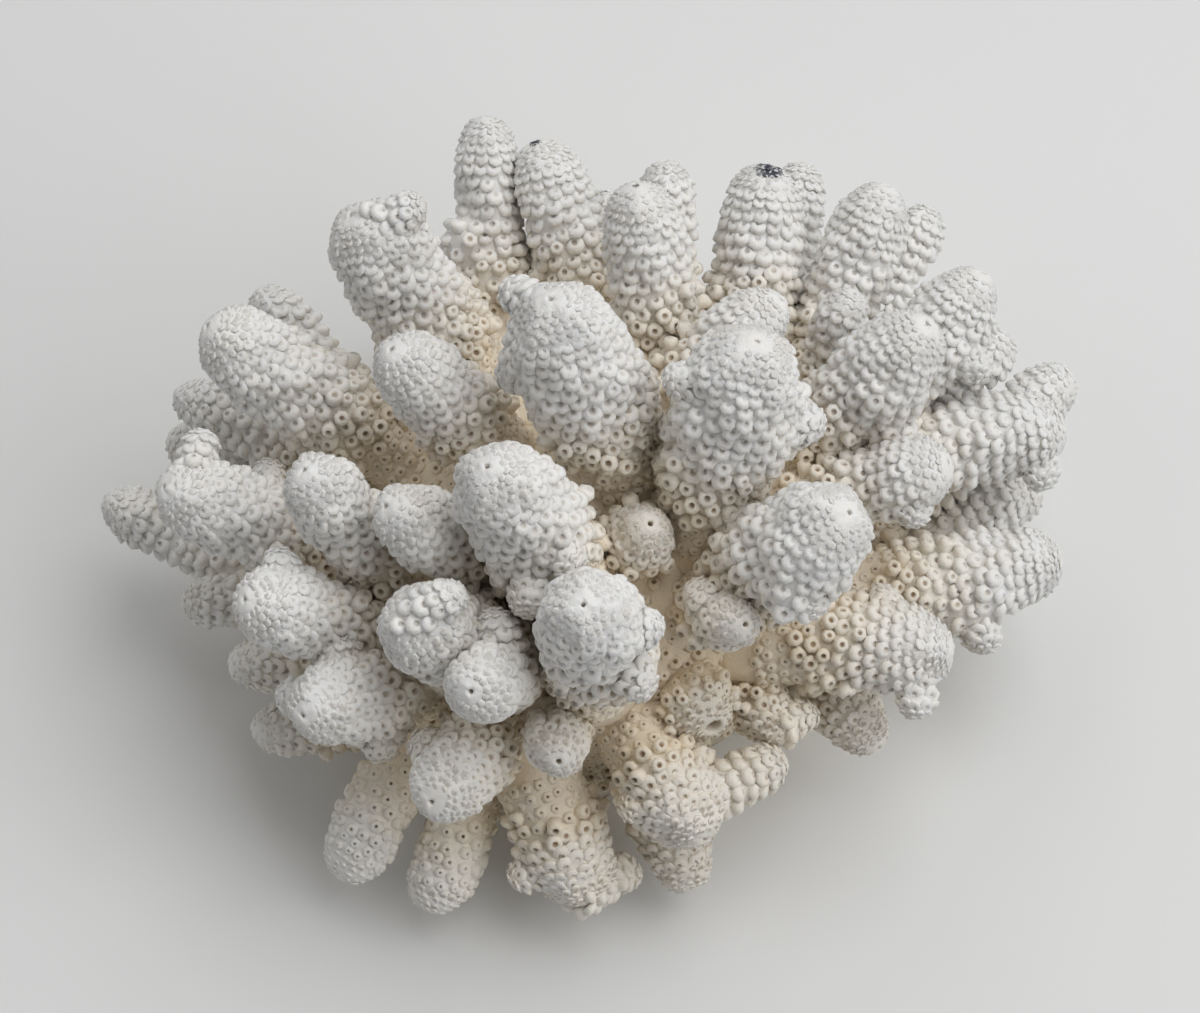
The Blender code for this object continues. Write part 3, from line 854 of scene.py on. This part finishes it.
def add_crust_lattice(surface, reach, sizes):
    """Points for the pits and few short tubes of the crust, no two nearer than the pit spacing."""
    chance = random.Random(f"{sizes.seed} crust")
    centre = Vector(GROWTH_CENTRE)
    cells, points, outward, kinds = {}, [], [], []
    for _ in range(CRUST_TRIES):
        bearing = chance.uniform(0, 2 * math.pi)
        lift = math.asin(chance.uniform(math.sin(CRUST_LOWEST), 1.0))
        kind = TUBE if chance.random() < TUBES_ON_CRUST else PIT
        toward = direction(bearing, lift)
        point = centre + toward * reach(bearing, lift)
        cell = tuple(int(math.floor(c / sizes.pit_spacing)) for c in point)
        near = (cells.get((cell[0] + i, cell[1] + j, cell[2] + k), ())
                for i in (-1, 0, 1) for j in (-1, 0, 1) for k in (-1, 0, 1))
        if any((point - other).length < sizes.pit_spacing for group in near for other in group):
            continue
        cells.setdefault(cell, []).append(point)
        points.append(point)
        outward.append(toward)
        kinds.append(kind)
    points, outward, kinds = np.array(points), np.array(outward), np.array(kinds)
    upward = unit(np.cross(outward, np.cross((0, 0, 1.0), outward)) + 1e-6)
    width = np.where(kinds == PIT, sizes.pit_width, CRUST_TUBE_WIDTH * sizes.cup_width)
    height = width * np.where(kinds == PIT, PIT_HEIGHT, CRUST_TUBE_HEIGHT)
    stand = unit(outward + CRUST_TUBE_LEAN * upward * (kinds == TUBE)[:, None])
    kept = (points + stand * height[:, None] * CRUST_MARGIN)[:, 2] > FLOOR_CLEARANCE
    surface.add(points[kept], kind=kinds[kept], warmth=warmth_at(points[kept]), stand=stand[kept],
                tipward=upward[kept], size=np.stack([width, width, height], axis=1)[kept])


def build_crust(settings):
    """Dresses the crust."""
    sizes = settings.coral_sizes
    points, faces, reach = crust_surface()
    surface = Surface()
    surface.add(points, faces, warmth=warmth_at(points))
    add_crust_lattice(surface, reach, sizes)
    shapes = corallite_set()
    material = skeleton_material("crust", settings.coral_colours)
    piece = grown("crust_skeleton", surface, shapes, material, sizes, sizes.seed)
    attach(piece, BODY)
    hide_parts("crust")
    for shape in shapes.values():
        bpy.data.meshes.remove(shape.data)


# The skeleton's noises, each as (scale, detail, roughness), and the value that they lie round.
MOTTLE, GRAIN_NOISE, SUGAR_NOISE = (160, 2, 0.6), (1900, 2, 0.65), (5200, 0, 0.6)
NOISE_MIDDLE = 0.5

# How patchy the cream is, how much of it and of the painted throat shade shows at most, and how much
# painted throat shade shows at a bleached tip.
PATCHY, MOST_CREAM, MOST_THROAT_SHADE, TIP_THROAT_SHADE = 0.6, 0.85, 0.9, 0.32

# How the grain breaks up the stain: its neutral value, its strength, and where the stain sets in.
STAIN_GRAIN, STAIN_BREAKUP, STAIN_FROM, STAIN_TO = 0.56, 3.0, 0.35, 0.75

# The least roughness and what the grain adds to it, and the shares of grain and sugar in the height.
LEAST_ROUGH, MORE_ROUGH = 0.5, 0.3
GRAIN_SHARE, SUGAR_SHARE = 0.6, 0.4

# How much warmer each material slot is than its place alone makes it; the low fingers and the crust get more,
# partly their own tone and partly painted warm shade.
SLOT_WARMTH = {"finger": 0.0, "low_finger": 0.04, "stained_finger": 0.0, "crust": 0.25}

# The finish: height and strength of the grain, gloss, and how light spreads inside the skeleton.
GRAIN_HEIGHT, GRAIN_STRENGTH, GLOSS = 0.00022, 0.7, 0.35
TRANSLUCENCE, LIGHT_TRAVEL, LIGHT_SPREAD = 0.12, 0.0014, (1.0, 0.78, 0.5)

COLOURS = ("bone", "cream", "throat", "stain")


def noise_value(tree, place, noise_look):
    scale, detail, roughness = noise_look
    return add_node(tree, "ShaderNodeTexNoise", {"Vector": place, "Scale": scale, "Detail": detail,
                                                 "Roughness": roughness}).outputs["Fac"]


def mixed(tree, share, first, second):
    """A colour that goes from the first to the second by the share."""
    return add_node(tree, "ShaderNodeMix", {0: share, 6: first, 7: second}, data_type="RGBA").outputs[2]


def skeleton_group():
    """Shader group: the colour, with painted shade in the throats and painted warm shade in the cream,
    roughness and fine grain of dry coral skeleton.
    """
    tree = bpy.data.node_groups.new("Dry skeleton", "ShaderNodeTree")
    for name in COLOURS:
        new_socket(tree, name.capitalize(), "INPUT", "NodeSocketColor")
    new_socket(tree, "Extra Warmth", "INPUT", "NodeSocketFloat", default_value=0.0)
    for name, kind in (("Color", "NodeSocketColor"), ("Roughness", "NodeSocketFloat"),
                       ("Height", "NodeSocketFloat")):
        new_socket(tree, name, "OUTPUT", kind)
    given = tree.nodes.new("NodeGroupInput").outputs
    place = tree.nodes.new("ShaderNodeTexCoord").outputs["Object"]
    warmth, throat, stain = (
        add_node(tree, "ShaderNodeAttribute", {}, attribute_name=name).outputs["Fac"]
        for name in ("warmth", "throat", "stain"))
    mottle, grain, sugar = (noise_value(tree, place, look) for look in (MOTTLE, GRAIN_NOISE, SUGAR_NOISE))

    def times(first, second):
        return computed(tree, "MULTIPLY", first, second)

    def plus(first, second):
        return computed(tree, "ADD", first, second, clamped=True)

    def minus(first, second):
        return computed(tree, "SUBTRACT", first, second)

    # Cream: the skeleton's own tone with painted warm shade deep between the fingers; the mottle is random
    # tone.
    warm = plus(plus(warmth, given["Extra Warmth"]), times(minus(mottle, NOISE_MIDDLE), PATCHY))
    colour = mixed(tree, times(warm, MOST_CREAM), given["Bone"], given["Cream"])
    # Painted shade at the bottom of each hole, stronger where the skeleton is cream.
    deep = times(throat, plus(warmth, TIP_THROAT_SHADE))
    colour = mixed(tree, times(deep, MOST_THROAT_SHADE), colour, given["Throat"])
    ragged = plus(times(minus(grain, STAIN_GRAIN), STAIN_BREAKUP), stain)
    sharp = add_node(tree, "ShaderNodeMapRange",
                     {"Value": ragged, "From Min": STAIN_FROM, "From Max": STAIN_TO})
    colour = mixed(tree, times(sharp.outputs[0], stain), colour, given["Stain"])
    add_node(tree, "NodeGroupOutput", {
        "Color": colour,
        "Roughness": plus(times(grain, MORE_ROUGH), LEAST_ROUGH),
        "Height": plus(times(grain, GRAIN_SHARE), times(sugar, SUGAR_SHARE))})
    return tree


def skeleton_material(slot, colours):
    """The finish of one material slot of the record."""
    name = slot + "_skeleton"
    if name in bpy.data.materials:
        return bpy.data.materials[name]
    material = bpy.data.materials.new(name)
    material.use_nodes = True
    tree = material.node_tree
    shader = tree.nodes["Principled BSDF"]
    group = tree.nodes.new("ShaderNodeGroup")
    group.node_tree = bpy.data.node_groups.get("Dry skeleton") or skeleton_group()
    for key in COLOURS:
        group.inputs[key.capitalize()].default_value = (*getattr(colours, key), 1.0)
    group.inputs["Extra Warmth"].default_value = SLOT_WARMTH[slot]
    bump = add_node(tree, "ShaderNodeBump", {"Strength": GRAIN_STRENGTH, "Distance": GRAIN_HEIGHT,
                                             "Height": group.outputs["Height"]})
    tree.links.new(group.outputs["Color"], shader.inputs["Base Color"])
    tree.links.new(group.outputs["Roughness"], shader.inputs["Roughness"])
    tree.links.new(bump.outputs["Normal"], shader.inputs["Normal"])
    shader.inputs["Subsurface Weight"].default_value = TRANSLUCENCE
    shader.inputs["Subsurface Radius"].default_value = LIGHT_SPREAD
    shader.inputs["Subsurface Scale"].default_value = LIGHT_TRAVEL
    shader.inputs["Specular IOR Level"].default_value = GLOSS
    return material


# The view: how high it looks from, the point it looks at and from how far, and the picture's angle.
VIEW_LIFT = math.radians(64.0)
VIEW_TARGET = Vector((0.0, 0.0130, 0.02034))
VIEW_DISTANCE = 0.345
SENSOR_WIDTH, LENS = 36.0, 66.93

FLOOR_SIZE, FLOOR_ROUGHNESS = 6.0, 0.6
ROOM_COLOUR, ROOM_LIGHT = (1.0, 1.0, 0.99, 1.0), 0.1

# The soft lights: bearing and lift of each in degrees, and its power in watts.
LIGHTS = (("ceiling", 30.0, 68.0, 4.6), ("right", -22.0, 40.0, 3.0), ("rear", 108.0, 48.0, 1.6),
          ("left", 185.0, 45.0, 1.2))
LIGHT_SIZE, LIGHT_DISTANCE = 0.8, 1.0
LIT_POINT = Vector((0.0, 0.0, 0.03))


def add_light(name, bearing, lift, power):
    """A round soft light that faces the middle of the coral."""
    light = bpy.data.lights.new(name, "AREA")
    light.shape = "DISK"
    light.size = LIGHT_SIZE
    light.energy = power
    lamp = bpy.data.objects.new(name, light)
    lamp.location = direction(bearing, lift) * LIGHT_DISTANCE
    lamp.rotation_euler = (LIT_POINT - lamp.location).to_track_quat("-Z", "Y").to_euler()
    bpy.context.scene.collection.objects.link(lamp)


def build_stage(settings):
    """The pale floor, the soft light and the camera."""
    half = FLOOR_SIZE / 2
    mesh = bpy.data.meshes.new("floor")
    corners = [(-half, -half, 0), (half, -half, 0), (half, half, 0), (-half, half, 0)]
    mesh.from_pydata(corners, [], [(0, 1, 2, 3)])
    floor = bpy.data.objects.new("floor", mesh)
    bpy.context.scene.collection.objects.link(floor)
    material = bpy.data.materials.new("floor_paint")
    material.use_nodes = True
    shader = material.node_tree.nodes["Principled BSDF"]
    shader.inputs["Base Color"].default_value = (*settings.coral_colours.floor, 1.0)
    shader.inputs["Roughness"].default_value = FLOOR_ROUGHNESS
    mesh.materials.append(material)

    for name, bearing, lift, power in LIGHTS:
        add_light(name, math.radians(bearing), math.radians(lift), power)
    world = bpy.data.worlds.new("soft_room")
    world.use_nodes = True
    background = world.node_tree.nodes["Background"]
    background.inputs["Color"].default_value = ROOM_COLOUR
    background.inputs["Strength"].default_value = ROOM_LIGHT
    bpy.context.scene.world = world

    lens = bpy.data.cameras.new("camera")
    lens.sensor_fit = "HORIZONTAL"
    lens.sensor_width = SENSOR_WIDTH
    lens.lens = LENS
    camera = bpy.data.objects.new("camera", lens)
    back = Vector((0.0, -math.cos(VIEW_LIFT), math.sin(VIEW_LIFT)))
    camera.location = VIEW_TARGET + back * VIEW_DISTANCE
    camera.rotation_euler = (math.pi / 2 - VIEW_LIFT, 0.0, 0.0)
    bpy.context.scene.collection.objects.link(camera)
    bpy.context.scene.camera = camera
    bpy.context.scene.view_settings.view_transform = "Standard"


class CORAL_OT_crust(bpy.types.Operator):
    """Build the crust with its pits and short tubes"""

    bl_idname = "coral.add_crust"
    bl_label = "Crust"

    def execute(self, context):
        build_crust(context.scene)
        return {"FINISHED"}


class CORAL_OT_crown(bpy.types.Operator):
    """Build the fingers of the crown"""

    bl_idname = "coral.add_crown"
    bl_label = "Crown fingers"

    def execute(self, context):
        build_fingers(("crown", "centre"), context.scene)
        return {"FINISHED"}


class CORAL_OT_rear(bpy.types.Operator):
    """Build the fingers of the rear"""

    bl_idname = "coral.add_rear"
    bl_label = "Rear fingers"

    def execute(self, context):
        build_fingers(("rear",), context.scene)
        return {"FINISHED"}


class CORAL_OT_right(bpy.types.Operator):
    """Build the fingers of the right side"""

    bl_idname = "coral.add_right"
    bl_label = "Right fingers"

    def execute(self, context):
        build_fingers(("right",), context.scene)
        return {"FINISHED"}


class CORAL_OT_left(bpy.types.Operator):
    """Build the fingers of the left side"""

    bl_idname = "coral.add_left"
    bl_label = "Left fingers"

    def execute(self, context):
        build_fingers(("left",), context.scene)
        return {"FINISHED"}


class CORAL_OT_front(bpy.types.Operator):
    """Build the fingers of the front, with the broken stub"""

    bl_idname = "coral.add_front"
    bl_label = "Front fingers"

    def execute(self, context):
        build_fingers(("front",), context.scene)
        return {"FINISHED"}


class CORAL_OT_stage(bpy.types.Operator):
    """Set out the floor, the lights and the camera"""

    bl_idname = "coral.add_stage"
    bl_label = "Stage"

    def execute(self, context):
        build_stage(context.scene)
        return {"FINISHED"}


OPERATORS = (CORAL_OT_stage, CORAL_OT_crust, CORAL_OT_crown, CORAL_OT_rear, CORAL_OT_right,
             CORAL_OT_left, CORAL_OT_front)


class CORAL_PT_panel(bpy.types.Panel):
    """Lists the coral's sizes, colours and pieces"""

    bl_label = "Finger coral"
    bl_idname = "CORAL_PT_panel"
    bl_space_type = "VIEW_3D"
    bl_region_type = "UI"
    bl_category = "Coral"

    def draw(self, context):
        for settings in (context.scene.coral_sizes, context.scene.coral_colours):
            box = self.layout.box()
            for name in settings.__annotations__:
                box.prop(settings, name)
        for operator in OPERATORS:
            self.layout.operator(operator.bl_idname)


CLASSES = (CoralSizes, CoralColours, *OPERATORS, CORAL_PT_panel)


def register():
    for item in CLASSES:
        bpy.utils.register_class(item)
    bpy.types.Scene.coral_sizes = PointerProperty(type=CoralSizes)
    bpy.types.Scene.coral_colours = PointerProperty(type=CoralColours)


def unregister():
    del bpy.types.Scene.coral_colours
    del bpy.types.Scene.coral_sizes
    for item in reversed(CLASSES):
        bpy.utils.unregister_class(item)


def main():
    register()
    bpy.ops.coral.add_stage()
    bpy.ops.coral.add_crust()
    bpy.ops.coral.add_crown()
    bpy.ops.coral.add_rear()
    bpy.ops.coral.add_right()
    bpy.ops.coral.add_left()
    bpy.ops.coral.add_front()


if __name__ == "__main__":
    main()
